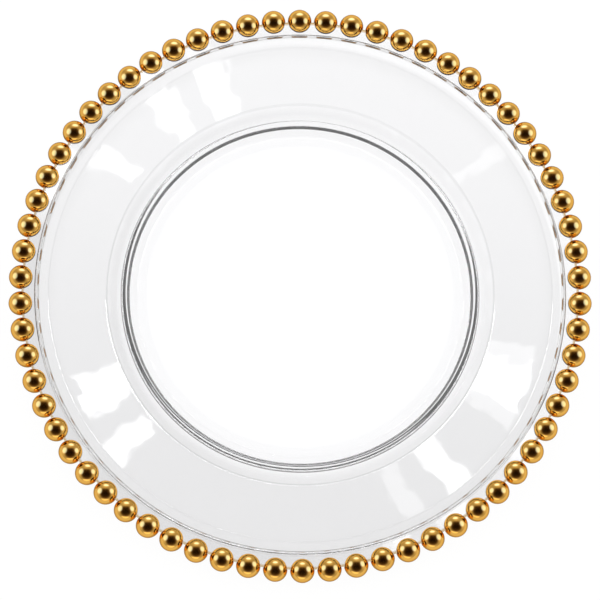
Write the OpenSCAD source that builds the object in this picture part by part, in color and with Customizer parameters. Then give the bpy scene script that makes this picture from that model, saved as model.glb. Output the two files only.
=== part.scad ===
// Round charger plate of clear pressed glass, with a string of gold balls
// seated on the edge of its rim. Millimetres, +Z up, origin on the table
// under the middle of the foot.

/* [Well] */
// Radius at which the flat well floor meets the wall
well_r = 96.3; // [86:0.1:106]
// Glass thickness of the well floor
floor_t = 4; // [3.6:0.1:5]
// Radius of the hollow corner between floor and wall
well_round = 6.2; // [3:0.1:8]

/* [Foot] */
// How far the foot ring reaches outside the well floor
foot_out = 2.9; // [2.6:0.1:4]
// Width of the foot ring
foot_w = 7; // [4:0.5:9]
// Height of the foot ring under the well
foot_h = 0.5; // [0.3:0.1:1]
// Radial run over which the foot ring fades into the underside of the well
foot_ease = 4.5; // [3:0.5:8]
// Radius of the two soft corners of that run
foot_ease_round = 3; // [1:0.5:5]
// Rounding of the foot ring's outer corner
foot_round = 1.2; // [0.6:0.1:2]

/* [Wall and shoulder] */
// Radial run of the steep wall round the well
wall_run = 3; // [2.4:0.1:4]
// Height of the wall above the well floor
wall_h = 6.7; // [5.5:0.1:8]
// Rounding of the wall's upper corner
wall_round = 1.9; // [1:0.1:2.5]
// Radial run of the soft shoulder between wall and rim
shoulder_run = 10.5; // [8:0.5:13]
// Rise of the shoulder
shoulder_rise = 2.3; // [1.9:0.1:3]
// Radius that blends the shoulder into the rim
shoulder_round = 27; // [10:1:32]
// Radial run of the outer side, from the foot up to the rim's underside
outer_run = 2.1; // [1:0.1:2.6]
// Radius of the hollow corner at the top of that side
under_round = 6.4; // [3:0.1:8]

/* [Rim] */
// Rise of the broad rim from shoulder to crease
rim_rise = 4.7; // [4:0.1:6]
// Glass thickness of the rim, measured upright
rim_t = 3.3; // [3.2:0.1:4.2]
// Width of the plain band between crease and ridge
band_w = 5.2; // [4:0.1:9]
// Rise of that band
band_rise = 1; // [0.6:0.1:1.6]
// Radius that softens the crease
crease_round = 15; // [4:1:25]

/* [Ridge] */
// Height of the raised ridge above the band
ridge_h = 1.7; // [0.8:0.1:2.2]
// Radial run of the ridge's inner side
ridge_in_run = 0.8; // [0.6:0.05:1.4]
// Width of the ridge's crest
ridge_crest = 0.6; // [0.55:0.05:1.2]
// Radial run of the ridge's outer side
ridge_out_run = 0.6; // [0.5:0.05:1.2]
// Rounding of the ridge's corners
ridge_round = 0.28; // [0.15:0.01:0.3]

/* [Edge ledge] */
// Outer radius of the glass, to the rounded edge
edge_r = 157.5; // [150:0.5:165]
// Glass thickness of the ledge that carries the balls
ledge_t = 3.8; // [3.2:0.1:4.2]
// How far the ledge lies below the end of the band
ledge_drop = 0.7; // [0.2:0.1:1.2]
// Bare ledge between the ridge and the balls
ledge_w = 1.7; // [1.5:0.05:3]
// How far outside the ridge's foot the underside starts to drop to the ledge
under_lead = 1.5; // [0.8:0.1:2]
// Radial run of that drop
under_run = 1.4; // [1:0.1:2]

/* [Balls] */
// Diameter of a ball
ball_d = 13.6; // [12:0.1:15]
// Least gap between neighbouring balls
ball_gap = 1.35; // [0.8:0.05:2]
// How far the centre of a ball stands outside the glass edge
ball_stand = 0.5; // [0:0.1:1.5]
// Cement line between a ball's slot and the glass
bond_gap = 0.1; // [0.05:0.01:0.2]
// Turn of the first ball from +X, in degrees
first_ball_turn = 3; // [0:0.1:5]

/* [Hidden] */
// Number of straight stretches in a rounded corner
arc_steps = 8;
// Circle facets of the drawn preview
ball_fn = 64;
plate_fn = 180;

// Number of named groups that the balls are shared out to
arcs = 22;
// Rounding of the glass edge, as a share of its thickness: nearly a full round
edge_round_share = 0.47;

ball_r = ball_d / 2;
ball_ring_r = edge_r + ball_stand;
ball_room = ball_d + ball_gap;
ball_count = floor(180 / asin(ball_room / (2 * ball_ring_r)));
ball_pitch = 360 / ball_count;

// Radii from the well out, and from the balls in
foot_r = well_r + foot_out;
foot_in_r = foot_r - foot_w;
under_r = foot_r + outer_run;
wall_r = well_r + wall_run;
shoulder_r = wall_r + shoulder_run;
ledge_in_r = ball_ring_r - ball_r - ledge_w;
crest_out_r = ledge_in_r - ridge_out_run;
crest_in_r = crest_out_r - ridge_crest;
ridge_r = crest_in_r - ridge_in_run;
crease_r = ridge_r - band_w;
drop_r = ridge_r + under_lead;

// Heights of the top surface, from the table up
well_z = foot_h + floor_t;
wall_z = well_z + wall_h;
shoulder_z = wall_z + shoulder_rise;
crease_z = shoulder_z + rim_rise;
band_z = crease_z + band_rise;
crest_z = band_z + ridge_h;
ledge_top_z = band_z - ledge_drop;
ledge_mid_z = ledge_top_z - ledge_t / 2;
ledge_low_z = ledge_top_z - ledge_t;
edge_round = edge_round_share * ledge_t;

// Height of the rim's underside at radius r: it keeps the slope of the rim above it
function under_z(r) = shoulder_z - rim_t + (r - shoulder_r) * rim_rise / (crease_r - shoulder_r);

function unit(v) = v / norm(v);

// Blend of two unit vectors that lie an angle apart, at share s of the way
function turned(u, v, angle, s) =
    (sin((1 - s) * angle) * u + sin(s * angle) * v) / sin(angle);

// Arc of radius f that rounds corner b between its neighbours a and c
function rounded(a, b, c, f) =
    let (
        u = unit(a - b),
        v = unit(c - b),
        half = acos(u * v) / 2,
        centre = b + unit(u + v) * f / sin(half),
        start = unit(b + u * f / tan(half) - centre),
        end = unit(b + v * f / tan(half) - centre)
    )
    [for (i = [0:arc_steps]) centre + f * turned(start, end, 180 - 2 * half, i / arc_steps)];

// Outline from corners [radius, height, rounding]; a corner with no rounding stays sharp
function outline(corners) =
    let (n = len(corners), at = function (i) [corners[(i + n) % n][0], corners[(i + n) % n][1]])
    [for (i = [0:n - 1])
        each corners[i][2] == 0 ? [at(i)] : rounded(at(i - 1), at(i), at(i + 1), corners[i][2])];

// Half section of the glass, from the axis out along the underside and back over the top
glass_corners = [
    [0, foot_h, 0],
    [foot_in_r - foot_ease, foot_h, foot_ease_round],
    [foot_in_r, 0, foot_ease_round],
    [foot_r, 0, foot_round],
    [under_r, under_z(under_r), under_round],
    [drop_r, under_z(drop_r), ridge_round],
    [drop_r + under_run, ledge_low_z, ridge_round],
    [edge_r, ledge_low_z, edge_round],
    [edge_r, ledge_top_z, edge_round],
    [ledge_in_r, ledge_top_z, ridge_round],
    [crest_out_r, crest_z, ridge_round],
    [crest_in_r, crest_z, ridge_round],
    [ridge_r, band_z, ridge_round],
    [crease_r, crease_z, crease_round],
    [shoulder_r, shoulder_z, shoulder_round],
    [wall_r, wall_z, wall_round],
    [well_r, well_z, well_round],
    [0, well_z, 0]
];

// One glass pressing: foot, well, wall, shoulder, rim, ridge and ledge
module glass_plate() {
    color([0.90, 0.93, 0.94, 0.45])
        rotate_extrude($fn = plate_fn)
            polygon(outline(glass_corners));
}

// Ring that the glass ledge needs inside the balls, with the cement line round it
module ledge_room() {
    rotate_extrude($fn = plate_fn)
        translate([ball_ring_r - ball_d, ledge_low_z - bond_gap])
            square([ball_d - ball_stand + bond_gap, ledge_t + 2 * bond_gap]);
}

// One gold ball, slotted from the inside to sit on the ledge
module ball(turn) {
    difference() {
        rotate([0, 0, turn])
            translate([ball_ring_r, 0, ledge_mid_z])
                sphere(d = ball_d, $fn = ball_fn);
        ledge_room();
    }
}

// The balls of one arc, counted round from +X; arcs share all the balls out evenly
module ball_arc(arc) {
    first = floor((arc - 1) * ball_count / arcs);
    last = floor(arc * ball_count / arcs) - 1;
    color([0.83, 0.62, 0.24])
        for (i = [first:last])
            ball(first_ball_turn + i * ball_pitch);
}

glass_plate();
for (arc = [1:arcs])
    ball_arc(arc);
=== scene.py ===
import math

import bpy
from mathutils import Matrix, Vector


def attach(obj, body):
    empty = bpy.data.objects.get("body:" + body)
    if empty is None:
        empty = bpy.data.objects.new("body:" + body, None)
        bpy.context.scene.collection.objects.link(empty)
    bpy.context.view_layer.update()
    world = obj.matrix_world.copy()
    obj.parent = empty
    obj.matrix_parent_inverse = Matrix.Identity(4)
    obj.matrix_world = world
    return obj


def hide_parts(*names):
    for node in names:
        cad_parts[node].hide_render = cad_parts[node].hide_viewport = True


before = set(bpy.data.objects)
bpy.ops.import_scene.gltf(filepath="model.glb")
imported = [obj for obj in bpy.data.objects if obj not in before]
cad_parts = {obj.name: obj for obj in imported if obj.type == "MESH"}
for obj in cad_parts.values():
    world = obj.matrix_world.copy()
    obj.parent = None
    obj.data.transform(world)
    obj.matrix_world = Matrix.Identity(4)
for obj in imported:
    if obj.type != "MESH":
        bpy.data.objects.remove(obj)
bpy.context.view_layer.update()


# Glass plate. One pressing of clear glass, turned about its middle: foot ring,
# flat well, low steep wall, soft shoulder, broad rim, plain band, a raised ridge
# and the ledge with a rounded edge that carries the balls.
well_radius = 0.0963
floor_glass = 0.004
well_rounding = 0.0062
foot_radius = 0.0992
foot_width = 0.007
foot_height = 0.0005
foot_ease = 0.0045
foot_ease_rounding = 0.003
foot_rounding = 0.0012
wall_run = 0.003
wall_height = 0.0067
wall_rounding = 0.0019
shoulder_run = 0.0105
shoulder_rise = 0.0023
shoulder_rounding = 0.027
outer_run = 0.0021
under_rounding = 0.0064
rim_rise = 0.0047
rim_glass = 0.0033
band_width = 0.0052
band_rise = 0.001
crease_rounding = 0.015
ridge_rise = 0.0017
ridge_inner_run = 0.0008
ridge_crest = 0.0006
ridge_outer_run = 0.0006
ridge_rounding = 0.00028
ledge_drop = 0.0007
ledge_glass = 0.0038
under_lead = 0.0015
under_run = 0.0014
bare_ledge = 0.0017
edge_radius = 0.1575
edge_round_share = 0.47
ball_radius = 0.0068
ball_stand = 0.0005

ball_ring_radius = edge_radius + ball_stand
ledge_start = ball_ring_radius - ball_radius - bare_ledge
crest_end = ledge_start - ridge_outer_run
crest_start = crest_end - ridge_crest
ridge_radius = crest_start - ridge_inner_run
crease_radius = ridge_radius - band_width
wall_radius = well_radius + wall_run
shoulder_radius = wall_radius + shoulder_run
well_z = foot_height + floor_glass
wall_z = well_z + wall_height
shoulder_z = wall_z + shoulder_rise
crease_z = shoulder_z + rim_rise
band_z = crease_z + band_rise
crest_z = band_z + ridge_rise
ledge_z = band_z - ledge_drop
ball_z = ledge_z - ledge_glass / 2
foot_inner = foot_radius - foot_width
rim_slope = math.atan2(rim_rise, crease_radius - shoulder_radius)
under_radius = foot_radius + outer_run
under_z = shoulder_z - (shoulder_radius - under_radius) * math.tan(rim_slope) - rim_glass
under_end = ridge_radius + under_lead
under_end_z = under_z + (under_end - under_radius) * math.tan(rim_slope)
edge_rounding = edge_round_share * ledge_glass

# The half section, from the axis out along the underside and back over the top:
# radius, height and rounding of each corner.
glass_corners = [
    (0, foot_height, 0),
    (foot_inner - foot_ease, foot_height, foot_ease_rounding),
    (foot_inner, 0, foot_ease_rounding),
    (foot_radius, 0, foot_rounding),
    (under_radius, under_z, under_rounding),
    (under_end, under_end_z, ridge_rounding),
    (under_end + under_run, ledge_z - ledge_glass, ridge_rounding),
    (edge_radius, ledge_z - ledge_glass, edge_rounding),
    (edge_radius, ledge_z, edge_rounding),
    (ledge_start, ledge_z, ridge_rounding),
    (crest_end, crest_z, ridge_rounding),
    (crest_start, crest_z, ridge_rounding),
    (ridge_radius, band_z, ridge_rounding),
    (crease_radius, crease_z, crease_rounding),
    (shoulder_radius, shoulder_z, shoulder_rounding),
    (wall_radius, wall_z, wall_rounding),
    (well_radius, well_z, well_rounding),
    (0, well_z, 0),
]


class Wire:
    """An output socket of a node. Arithmetic on it adds Math nodes to its tree."""

    def __init__(self, tree, socket=None):
        self.tree = tree
        self.socket = socket

    def node(self, kind, settings=None, sockets=None, output=0):
        """Adds a node: its type, its settings, then values or wires for its input sockets."""
        made = self.tree.nodes.new(kind)
        for name, value in (settings or {}).items():
            if name == "stops":
                stops = made.color_ramp.elements
                while len(stops) < len(value):
                    stops.new(1)
                for stop, (place, colour) in zip(stops, value):
                    stop.position = place
                    stop.color = (*colour, 1)
            else:
                setattr(made, name, value)
        for name, value in (sockets or {}).items():
            if isinstance(value, Wire):
                self.tree.links.new(value.socket, made.inputs[name])
            else:
                made.inputs[name].default_value = value
        return Wire(self.tree, made.outputs[output] if made.outputs else None)

    def beside(self, output):
        """Another output of the node that this wire comes from."""
        return Wire(self.tree, self.socket.node.outputs[output])

    def math(self, operation, *values):
        """The result of one Math node."""
        return self.node("ShaderNodeMath", {"operation": operation}, dict(enumerate(values)))

    def ramp(self, start, end, at_start, at_end):
        """A smooth change from one value to another, while this one goes from start to end."""
        return self.node("ShaderNodeMapRange", {"interpolation_type": "SMOOTHSTEP"}, {
            "Value": self, "From Min": start, "From Max": end, "To Min": at_start, "To Max": at_end})

    def blend(self, factor, first, second):
        """A colour between two colours."""
        return self.node("ShaderNodeMix", {"data_type": "RGBA"}, {
            "Factor": factor, "A": first, "B": second}, output="Result")

    def noise(self, place, scale, detail):
        """An even, cloudy pattern from 0 to 1."""
        return self.node("ShaderNodeTexNoise", sockets={
            "Vector": place, "Scale": scale, "Detail": detail})

    def along(self, direction):
        """How far this vector reaches along a direction."""
        return self.node("ShaderNodeVectorMath", {"operation": "DOT_PRODUCT"}, {
            0: self, 1: direction}, output="Value")

    def length(self):
        """The length of this vector."""
        return self.node("ShaderNodeVectorMath", {"operation": "LENGTH"}, {0: self}, output="Value")

    def grey(self):
        """The grey colour of this value."""
        return self.node("ShaderNodeCombineXYZ", sockets={0: self, 1: self, 2: self})

    def __add__(self, other):
        return self.math("ADD", self, other)

    def __sub__(self, other):
        return self.math("SUBTRACT", self, other)

    def __rsub__(self, other):
        return self.math("SUBTRACT", other, self)

    def __mul__(self, other):
        return self.math("MULTIPLY", self, other)

    def __truediv__(self, other):
        return self.math("DIVIDE", self, other)

    def __rtruediv__(self, other):
        return self.math("DIVIDE", other, self)

    def __abs__(self):
        return self.math("ABSOLUTE", self)

    __radd__ = __add__
    __rmul__ = __mul__


def wired(holder):
    """The start of a wiring in the emptied node tree of a material, a room or a lamp."""
    holder.use_nodes = True
    holder.node_tree.nodes.clear()
    return Wire(holder.node_tree)


def modelling_tree(name, sizes):
    """A new geometry tree with one input for each named size, and its wires."""
    tree = bpy.data.node_groups.new(name, "GeometryNodeTree")
    tree.interface.new_socket("Geometry", in_out="INPUT", socket_type="NodeSocketGeometry")
    for label, kind in sizes.items():
        tree.interface.new_socket(label, in_out="INPUT", socket_type=kind)
    tree.interface.new_socket("Geometry", in_out="OUTPUT", socket_type="NodeSocketGeometry")
    source = tree.nodes.new("NodeGroupInput")
    return tree, {socket.name: Wire(tree, socket) for socket in source.outputs if socket.name}


def grown(name, seed_mesh, tree, sizes):
    """Runs a geometry tree on a mesh and gives back a new object with the plain result."""
    seed = bpy.data.objects.new(name + "_seed", seed_mesh)
    bpy.context.scene.collection.objects.link(seed)
    modifier = seed.modifiers.new("grow", "NODES")
    modifier.node_group = tree
    for item in tree.interface.items_tree:
        if item.in_out == "INPUT" and item.name in sizes:
            modifier[item.identifier] = sizes[item.name]
    evaluated = seed.evaluated_get(bpy.context.evaluated_depsgraph_get())
    mesh = bpy.data.meshes.new_from_object(evaluated)
    mesh.name = name
    bpy.data.objects.remove(seed)
    piece = bpy.data.objects.new(name, mesh)
    bpy.context.scene.collection.objects.link(piece)
    return piece


glass_colour = (0.985, 0.985, 0.995, 1)
# Painted reflection and shade: the warm gold tint of the glass where it runs into the balls.
painted_gold_reflection_colour = (0.62, 0.41, 0.19, 1)
# Painted shade: thin dark rings at the crease and the shoulder, where the bends of the glass look dark.
painted_bend_shade_colour = (0, 0, 0, 1)
painted_bend_half_width = 0.0006
crease_painted_shade = 0.05
shoulder_painted_shade = 0.15
glass_refraction = 1.5
clear_share = 0.93
glass_roughness = 0.012
haze_scale = 210
haze_detail = 4
swell_scale = 38
swell_detail = 2
swell_height = 0.00006
flat_weight = 100

glass_material = bpy.data.materials.new("clear_pressed_glass")
wiring = wired(glass_material)
place = wiring.node("ShaderNodeTexCoord", output="Object")
level_place = wiring.node("ShaderNodeVectorMath", {"operation": "MULTIPLY"}, {0: place, 1: (1, 1, 0)})
from_middle = level_place.length()
# The warm edge is a painted gold reflection, with painted shade between the balls.
painted_reflection_at_edge = from_middle.ramp(edge_radius - ledge_glass / 2, edge_radius - edge_rounding / 2, 0, 1)
tint = wiring.blend(painted_reflection_at_edge, glass_colour, painted_gold_reflection_colour)
# The dark rings at the crease and the shoulder are painted shade.
for bend_radius, painted_bend_shade in ((crease_radius, crease_painted_shade), (shoulder_radius, shoulder_painted_shade)):
    painted_shade_at_bend = abs(from_middle - bend_radius).ramp(0, painted_bend_half_width, painted_bend_shade, 0)
    tint = wiring.blend(painted_shade_at_bend, tint, painted_bend_shade_colour)
swell = wiring.noise(place, swell_scale, swell_detail)
haze = wiring.noise(place, haze_scale, haze_detail)
ripple = wiring.node("ShaderNodeBump", sockets={"Height": swell, "Strength": 1, "Distance": swell_height})
glass_shader = wiring.node("ShaderNodeBsdfPrincipled", sockets={
    "Base Color": tint,
    "Roughness": haze * glass_roughness,
    "IOR": glass_refraction,
    "Transmission Weight": clear_share,
    "Normal": ripple,
})
wiring.node("ShaderNodeOutputMaterial", sockets={"Surface": glass_shader})

section = bpy.data.meshes.new("glass_section")
section.from_pydata(
    [(radius, -height, 0) for radius, height, rounding in glass_corners],
    [(i, i + 1) for i in range(len(glass_corners) - 1)], [])
corner_roundings = section.attributes.new("rounding", "FLOAT", "POINT")
corner_roundings.data.foreach_set("value", [rounding for radius, height, rounding in glass_corners])

# The circle that carries the section is wider than the plate, so the section is
# moved inward by the circle's radius, and its ends close on the axis.
turning_radius = 1.0
steps_round = 288
steps_in_corner = 10
closing_gap = 0.00001

tree, given = modelling_tree("turn_glass", {
    "Turning Radius": "NodeSocketFloat",
    "Steps Round": "NodeSocketInt",
    "Steps In Corner": "NodeSocketInt",
    "Closing Gap": "NodeSocketFloat",
    "Glass": "NodeSocketMaterial",
})
wiring = Wire(tree)
rounding = wiring.node("GeometryNodeInputNamedAttribute", {"data_type": "FLOAT"}, {"Name": "rounding"})
outline = wiring.node("GeometryNodeMeshToCurve", sockets={0: given["Geometry"]})
outline = wiring.node("GeometryNodeFilletCurve", {"mode": "POLY"}, {
    "Curve": outline, "Count": given["Steps In Corner"], "Radius": rounding, "Limit Radius": True})
inward = wiring.node("ShaderNodeCombineXYZ", sockets={"X": 0 - given["Turning Radius"]})
outline = wiring.node("GeometryNodeTransform", sockets={"Geometry": outline, "Translation": inward})
circle = wiring.node("GeometryNodeCurvePrimitiveCircle", sockets={
    "Resolution": given["Steps Round"], "Radius": given["Turning Radius"]})
circle = wiring.node("GeometryNodeSetCurveNormal", {"mode": "Z_UP"}, {"Curve": circle})
turned = wiring.node("GeometryNodeCurveToMesh", sockets={"Curve": circle, "Profile Curve": outline})
turned = wiring.node("GeometryNodeFlipFaces", sockets={"Mesh": turned})
turned = wiring.node("GeometryNodeMergeByDistance", sockets={
    "Geometry": turned, "Distance": given["Closing Gap"]})
turned = wiring.node("GeometryNodeSetShadeSmooth", sockets={"Geometry": turned, "Shade Smooth": True})
turned = wiring.node("GeometryNodeRealizeInstances", sockets={"Geometry": turned})
turned = wiring.node("GeometryNodeSetMaterial", sockets={"Geometry": turned, "Material": given["Glass"]})
wiring.node("NodeGroupOutput", sockets={"Geometry": turned})

glass = grown("glass_plate_pressing", section, tree, {
    "Turning Radius": turning_radius,
    "Steps Round": steps_round,
    "Steps In Corner": steps_in_corner,
    "Closing Gap": closing_gap,
    "Glass": glass_material,
})
flats = glass.modifiers.new("even_flats", "WEIGHTED_NORMAL")
flats.mode = "FACE_AREA"
flats.weight = flat_weight
flats.keep_sharp = True
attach(glass, "root")
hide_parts("glass_plate")


# Gold balls. A string of 66 like balls with a mirror-bright gold plating, each
# slotted from the inside and cemented over the glass ledge, evenly round the edge.
ball_count = 66
first_ball_turn = math.radians(3)
cement_line = 0.0001
ball_segments = 44
ball_rings = 25
slot_edge_angle = math.radians(35)
deep_gold = (0.91, 0.475, 0.085, 1)
bright_gold = (1.0, 0.56, 0.115, 1)
edge_gold = (0.8, 0.6, 0.38, 1)
gold_roughness = 0.03
cloud_roughness = 0.05
cloud_scale = 160
cloud_detail = 3
grain_scale = 900
grain_detail = 3
grain_height = 0.000004
lacquer_weight = 0.2
lacquer_roughness = 0.04

gold_material = bpy.data.materials.new("bright_gold_coating")
wiring = wired(gold_material)
place = wiring.node("ShaderNodeTexCoord", output="Object")
cloud = wiring.noise(place, cloud_scale, cloud_detail)
grain = wiring.noise(place, grain_scale, grain_detail)
pores = wiring.node("ShaderNodeBump", sockets={"Height": grain, "Strength": 1, "Distance": grain_height})
gold_shader = wiring.node("ShaderNodeBsdfPrincipled", sockets={
    "Base Color": wiring.blend(cloud, deep_gold, bright_gold),
    "Metallic": 1,
    "Roughness": gold_roughness + cloud_roughness * cloud,
    "Specular Tint": edge_gold,
    "Coat Weight": lacquer_weight,
    "Coat Roughness": lacquer_roughness,
    "Normal": pores,
})
wiring.node("ShaderNodeOutputMaterial", sockets={"Surface": gold_shader})

tree, given = modelling_tree("string_balls", {
    "Balls": "NodeSocketInt",
    "Ring Radius": "NodeSocketFloat",
    "Ring Height": "NodeSocketFloat",
    "First Turn": "NodeSocketFloat",
    "Ball Radius": "NodeSocketFloat",
    "Slot Height": "NodeSocketFloat",
    "Slot End": "NodeSocketFloat",
    "Gold": "NodeSocketMaterial",
})
wiring = Wire(tree)
ball = wiring.node("GeometryNodeMeshUVSphere", sockets={
    "Segments": ball_segments, "Rings": ball_rings, "Radius": given["Ball Radius"]})
slot_long = given["Ball Radius"] * 2
slot_size = wiring.node("ShaderNodeCombineXYZ", sockets={
    "X": slot_long, "Y": slot_long * 2, "Z": given["Slot Height"]})
slot_place = wiring.node("ShaderNodeCombineXYZ", sockets={"X": given["Slot End"] - given["Ball Radius"]})
slot = wiring.node("GeometryNodeMeshCube", sockets={"Size": slot_size})
slot = wiring.node("GeometryNodeTransform", sockets={"Geometry": slot, "Translation": slot_place})
ball = wiring.node("GeometryNodeMeshBoolean", {"operation": "DIFFERENCE", "solver": "EXACT"}, {
    "Mesh 1": ball, "Mesh 2": slot})
fold = wiring.node("GeometryNodeInputMeshEdgeAngle", output="Unsigned Angle")
soft = wiring.node("FunctionNodeCompare", {"data_type": "FLOAT", "operation": "LESS_THAN"}, {
    "A": fold, "B": slot_edge_angle})
for domain, smooth in (("FACE", True), ("EDGE", soft)):
    ball = wiring.node("GeometryNodeSetShadeSmooth", {"domain": domain}, {
        "Geometry": ball, "Shade Smooth": smooth})
ring = wiring.node("GeometryNodeMeshCircle", {"fill_type": "NONE"}, {
    "Vertices": given["Balls"], "Radius": given["Ring Radius"]})
number = wiring.node("GeometryNodeInputIndex")
facing = wiring.node("ShaderNodeCombineXYZ", sockets={"Z": number * (2 * math.pi / given["Balls"])})
facing = wiring.node("FunctionNodeEulerToRotation", sockets={"Euler": facing})
balls = wiring.node("GeometryNodeInstanceOnPoints", sockets={
    "Points": ring, "Instance": ball, "Rotation": facing})
ring_place = wiring.node("ShaderNodeCombineXYZ", sockets={"Z": given["Ring Height"]})
ring_turn = wiring.node("ShaderNodeCombineXYZ", sockets={"Z": given["First Turn"]})
balls = wiring.node("GeometryNodeTransform", sockets={
    "Geometry": balls, "Translation": ring_place, "Rotation": ring_turn})
balls = wiring.node("GeometryNodeRealizeInstances", sockets={"Geometry": balls})
balls = wiring.node("GeometryNodeSetMaterial", sockets={"Geometry": balls, "Material": given["Gold"]})
wiring.node("NodeGroupOutput", sockets={"Geometry": balls})

gold_balls = grown("gold_ball_string", bpy.data.meshes.new("ball_start"), tree, {
    "Balls": ball_count,
    "Ring Radius": ball_ring_radius,
    "Ring Height": ball_z,
    "First Turn": first_ball_turn,
    "Ball Radius": ball_radius,
    "Slot Height": ledge_glass + 2 * cement_line,
    "Slot End": cement_line - ball_stand,
    "Gold": gold_material,
})
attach(gold_balls, "root")
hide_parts(*[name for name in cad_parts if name.startswith("ball_arc")])


# Camera. It stands where the photograph was taken from: almost straight above,
# leaning towards the lower edge of the picture. Its angles come from the ellipse
# that the ball centres draw in the picture.
picture_side_px = 600
focal_px = 2517
sensor_width_mm = 36
lean_back = math.radians(-10.86)
lean_side = math.radians(1.66)
ring_from_camera = Vector((0.00054, 0.00539, -1.422))

camera_data = bpy.data.cameras.new("photo_camera")
camera_data.sensor_width = sensor_width_mm
camera_data.lens = focal_px * sensor_width_mm / picture_side_px
camera = bpy.data.objects.new("photo_camera", camera_data)
bpy.context.scene.collection.objects.link(camera)
to_world = (Matrix.Rotation(lean_back, 3, "X") @ Matrix.Rotation(lean_side, 3, "Y")).transposed()
camera_place = Vector((0, 0, ball_z)) - to_world @ ring_from_camera
camera.matrix_world = Matrix.Translation(camera_place) @ to_world.to_4x4()
bpy.context.scene.camera = camera
bpy.context.scene.view_settings.view_transform = "Standard"


# Table. A white sheet of painted board, just under the foot. The camera sees it
# white with a faint shadow. Gold sees it dimmer far off and with a painted shadow close
# to the balls, and through the glass it has painted shade under the rim and past the balls.
table_reach = 3.0
table_air = 0.0002
table_paint = (0.9, 0.9, 0.9, 1)
shadow_share = 0.06
near_share = 0.77
far_share = 0.58
near_reach = 0.3
far_reach = 1.2
contact_reach = 0.168
contact_end = 0.192
glass_white = 1.13
glass_white_reach = 0.163
glass_dim_share = 0.24
glass_dim_reach = 0.2
band_shade = 0.06
# A shade has one value towards its turn from +X and another on the side away from it.
rim_shade_turn = math.radians(85)
rim_shade_towards = 0
rim_shade_away = 0.15
ledge_shade_turn = math.radians(40)
ledge_shade_towards = -0.02
ledge_shade_away = 0.22
shoulder_shade_turn = math.radians(150)
shoulder_shade_towards = 0.085
shoulder_shade_away = -0.01
contact_turn = math.radians(85)
contact_share_towards = 0.3
contact_share_away = 0.6


def ray_kinds(wiring):
    """Whether a ray comes from the camera, from a mirroring surface or through glass."""
    from_camera = wiring.node("ShaderNodeLightPath", output="Is Camera Ray")
    return from_camera, from_camera.beside("Is Glossy Ray"), from_camera.beside("Is Transmission Ray")


def across(turn, reach, away, towards):
    """A value that changes over the table, from the side away from a turn to the side towards it."""
    return spot.along((math.cos(turn), math.sin(turn), 0)).ramp(-reach, reach, away, towards)


table_material = bpy.data.materials.new("white_table")
wiring = wired(table_material)
is_camera, is_glossy, is_through = ray_kinds(wiring)
seen = wiring.math("MAXIMUM", is_camera, wiring.math("MAXIMUM", is_glossy, is_through))
spot = wiring.node("ShaderNodeTexCoord", output="Object")
distance = spot.length()
# Painted shade on the table under the rim, the ledge and the shoulder, seen through the glass.
under_rim = distance.ramp(well_radius, shoulder_radius, 0, 1)
under_ledge = distance.ramp(crest_end, ledge_start + bare_ledge / 2, 0, 1)
under_shoulder = under_rim * distance.ramp(shoulder_radius - wall_run, shoulder_radius + wall_run, 1, 0)
side_shade = across(rim_shade_turn, ridge_radius, rim_shade_away, rim_shade_towards)
edge_shade = distance.ramp(crease_radius - band_width, ridge_radius, 0, band_shade)
rim_shade = under_rim * (1 - under_ledge) * (side_shade + edge_shade)
ledge_shade = under_ledge * across(
    ledge_shade_turn, ridge_radius, ledge_shade_away, ledge_shade_towards)
shoulder_shade = under_shoulder * across(
    shoulder_shade_turn, shoulder_radius, shoulder_shade_away, shoulder_shade_towards)
beyond = distance.ramp(glass_white_reach, glass_dim_reach, glass_white, glass_dim_share)
through = (1 - (rim_shade + ledge_shade + shoulder_shade)) * beyond
# A painted shadow round the balls' feet, seen in the gold.
contact_share = across(contact_turn, ledge_start, contact_share_away, contact_share_towards)
open_white = distance.ramp(near_reach, far_reach, near_share, far_share)
open_white = open_white * distance.ramp(contact_reach, contact_end, contact_share, 1)
shown = wiring.math("MAXIMUM", is_camera, open_white * (1 - is_through) + through * is_through)
paint = wiring.node("ShaderNodeBsdfDiffuse", sockets={"Color": table_paint})
white = wiring.node("ShaderNodeEmission", sockets={"Color": shown.grey()})
cover = wiring.node("ShaderNodeMixShader", sockets={"Fac": seen * (1 - shadow_share), 1: paint, 2: white})
wiring.node("ShaderNodeOutputMaterial", sockets={"Surface": cover})

table_mesh = bpy.data.meshes.new("white_table")
table_mesh.from_pydata([(x, y, -table_air) for x, y in (
    (-table_reach, -table_reach), (table_reach, -table_reach),
    (table_reach, table_reach), (-table_reach, table_reach))], [], [(0, 1, 2, 3)])
table_mesh.materials.append(table_material)
table = bpy.data.objects.new("white_table", table_mesh)
bpy.context.scene.collection.objects.link(table)


# Room. A plain studio, bright low down, dark overhead and dimmer in its four corners,
# so that the gold has its dark middle. Glass looks through to a dimmer room, and matt
# surfaces are lit white.
dark_middle = (0, -0.3, 0.954)
corner_dim = 0.4
room_tones = [
    (0.42, (0.77, 0.77, 0.77)),
    (0.60, (0.46, 0.43, 0.40)),
    (0.70, (0.20, 0.165, 0.14)),
    (0.80, (0.075, 0.052, 0.038)),
    (0.92, (0.030, 0.018, 0.012)),
    (1.0, (0.015, 0.009, 0.006)),
]
room_tones_in_glass = [
    (0.0, (0.60, 0.60, 0.60)),
    (0.30, (0.65, 0.65, 0.65)),
    (0.60, (0.28, 0.28, 0.28)),
    (0.94, (0.05, 0.05, 0.05)),
]
room_white = (1, 1, 1, 1)

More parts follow.
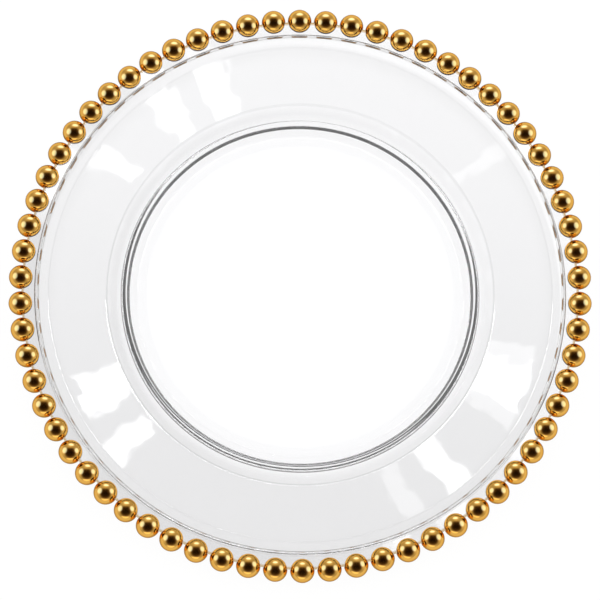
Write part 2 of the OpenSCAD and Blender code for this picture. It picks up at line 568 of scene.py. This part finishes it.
room = bpy.data.worlds.new("studio_room")
bpy.context.scene.world = room
wiring = wired(room)
direction = wiring.node("ShaderNodeTexCoord", output="Generated")
x = wiring.node("ShaderNodeSeparateXYZ", sockets={0: direction})
y = x.beside("Y")
corner = 4 * (x * y) * (x * y) / ((x * x + y * y) * (x * x + y * y))
tone = wiring.node("ShaderNodeValToRGB", {"stops": room_tones}, {0: direction.along(dark_middle)})
tone = wiring.node("ShaderNodeVectorMath", {"operation": "SCALE"}, {
    0: tone, "Scale": 1 - corner_dim * corner})
tone_in_glass = wiring.node("ShaderNodeValToRGB", {"stops": room_tones_in_glass}, {0: x.beside("Z")})
is_glossy, is_through = ray_kinds(wiring)[1:]
tone = wiring.blend(is_through, tone, tone_in_glass)
tone = wiring.blend(wiring.math("MAXIMUM", is_glossy, is_through), room_white, tone)
background = wiring.node("ShaderNodeBackground", sockets={"Color": tone})
wiring.node("ShaderNodeOutputWorld", sockets={"Surface": background})


# Lamps. Three large white softboxes light the table evenly. Four soft fields shine
# on the balls alone: three cool ones, because the photographed highlights are paler
# than the gold, and a faint white one in front.
def lamp_for(name, lit, sides, tint, radiance, lamp_place):
    """A rectangular lamp for the given piece alone, and the start of its wiring."""
    data = bpy.data.lights.new(name, "AREA")
    data.shape = "RECTANGLE"
    data.size, data.size_y = sides
    data.color = tint
    data.energy = radiance * math.pi * sides[0] * sides[1]
    lamp = bpy.data.objects.new(name, data)
    lamp.matrix_world = lamp_place
    lamp.visible_camera = False
    lamp.light_linking.receiver_collection = bpy.data.collections.new("lit_by_" + name)
    lamp.light_linking.receiver_collection.objects.link(lit)
    bpy.context.scene.collection.objects.link(lamp)
    return lamp, wired(data)


def softbox(name, lit, place, sides, tint, radiance, soft_from):
    """A lamp that faces the balls' ring, and fades from a share of its sides outward."""
    facing = (Vector(place) - Vector((0, 0, ball_z))).to_track_quat("Z", "Y")
    lamp_place = Matrix.Translation(place) @ facing.to_matrix().to_4x4()
    lamp, wiring = lamp_for(name, lit, sides, tint, radiance, lamp_place)
    spread = wiring.node("ShaderNodeNewGeometry", output="Parametric")
    spread = wiring.node("ShaderNodeVectorMath", {"operation": "SUBTRACT"}, {0: spread, 1: (0.5, 0.5, 0)})
    glow = spread.length().ramp(soft_from, 0.5, 1, 0)
    lit_up = wiring.node("ShaderNodeEmission", sockets={"Color": glow.grey()})
    wiring.node("ShaderNodeOutputLight", sockets={"Surface": lit_up})


def heading(turn, height):
    """The place of a field, from its turn and its height in degrees."""
    level = field_away * math.cos(math.radians(height))
    return (level * math.cos(math.radians(turn)), level * math.sin(math.radians(turn)),
            field_away * math.sin(math.radians(height)))


white_tint = (1, 1, 1)
cool_tint = (0.2, 0.36, 1)
field_away = 1.1
box_soft_from = 0.49
# Each softbox by name, place, sides and strength.
table_softboxes = (
    ("softbox_back", (0, 1.0, 0.38), (1.2, 0.62), 2.4),
    ("softbox_left", (-0.9, 0, 0.68), (1.1, 1.2), 1.9),
    ("softbox_right", (0.9, 0, 0.68), (1.1, 1.2), 1.9),
)
# Each field by name, turn and height, sides, colour, strength and where it starts to fade.
ball_fields = (
    ("field_back", (90, 26), (1.2, 0.7), cool_tint, 4.0, 0.16),
    ("field_left", (175, 31), (1.2, 1.2), cool_tint, 3.0, 0.2),
    ("field_right", (5, 31), (1.2, 1.2), cool_tint, 3.0, 0.2),
    ("field_front", (262, 10), (1.4, 0.46), white_tint, 0.6, 0.25),
)
for name, box_place, sides, radiance in table_softboxes:
    softbox(name, table, box_place, sides, white_tint, radiance, box_soft_from)
for name, turn_and_height, sides, tint, radiance, soft_from in ball_fields:
    softbox(name, gold_balls, heading(*turn_and_height), sides, tint, radiance, soft_from)


# Ceiling. It has a round white scrim where the flat well mirrors it, and strip lamps
# round that, which the sloping rim draws as bright radial streaks. It shines on the
# glass alone, so that the balls keep their dark middle.
ceiling_height = 3.0
ceiling_side = 2.4
ceiling_strength = 1
scrim_white = 1.1
scrim_edge = 1.06
streak_softness = math.radians(0.8)
# Each strip by the stretch of rim that mirrors it: from and to a turn round the
# plate in degrees, from and to a radius, and how bright it is. The last four are
# thin arcs farther out, which only the bends of the glass are steep enough to mirror.
strips = (
    (35.5, 38.5, 0.103, 0.150, 1.0),
    (108.5, 115, 0.088, 0.148, 3.6),
    (121.5, 128, 0.088, 0.148, 3.0),
    (142, 148.5, 0.122, 0.150, 2.2),
    (204.5, 214.5, 0.106, 0.140, 4.2),
    (221.5, 228.5, 0.106, 0.143, 4.2),
    (290.5, 295.5, 0.103, 0.143, 1.4),
    (302, 309, 0.103, 0.143, 4.2),
    (328, 340, 0.114, 0.142, 4.2),
    (323, 344, 0.110, 0.143, 1.4),
    (186, 224, 0.072, 0.100, 18.0),
    (224, 262, 0.072, 0.088, 10.0),
    (262, 304, 0.072, 0.088, 6.0),
    (304, 356, 0.072, 0.098, 14.0),
)

mirror_scale = 1 + ceiling_height / camera_place.z
rim_throw = math.tan(2 * rim_slope) * ceiling_height
ceiling_middle = Vector((-camera_place.x, -camera_place.y, 0)) * ceiling_height / camera_place.z
ceiling_place = Matrix.Translation(ceiling_middle + Vector((0, 0, ceiling_height)))
ceiling, wiring = lamp_for(
    "ceiling", glass, (ceiling_side, ceiling_side), white_tint, ceiling_strength, ceiling_place)
ceiling.visible_diffuse = False
spot = wiring.node("ShaderNodeNewGeometry", output="Position")
spot = wiring.node("ShaderNodeVectorMath", {"operation": "SUBTRACT"}, {0: spot, 1: ceiling_middle})
x = wiring.node("ShaderNodeSeparateXYZ", sockets={0: spot})
y = x.beside("Y")
reach = wiring.math("SQRT", x * x + y * y)
turn = wiring.math("ARCTAN2", 0 - y, 0 - x)
scrim_radius = well_radius * mirror_scale
glow = reach.ramp(scrim_radius, scrim_radius * scrim_edge, scrim_white, 0)
for turn_from, turn_to, radius_from, radius_to, radiance in strips:
    middle_turn = math.radians((turn_from + turn_to) / 2)
    middle_turn = math.atan2(math.sin(middle_turn), math.cos(middle_turn))
    half_turn = math.radians(turn_to - turn_from) / 2
    middle_reach = rim_throw - (radius_from + radius_to) / 2 * mirror_scale
    half_reach = (radius_to - radius_from) / 2 * mirror_scale
    within_turn = abs(turn - middle_turn).ramp(
        half_turn - streak_softness, half_turn + streak_softness, 1, 0)
    within_reach = wiring.math("COMPARE", reach, middle_reach, half_reach)
    glow = glow + radiance * (within_turn * within_reach)
lit_up = wiring.node("ShaderNodeEmission", sockets={"Color": glow.grey()})
wiring.node("ShaderNodeOutputLight", sockets={"Surface": lit_up})
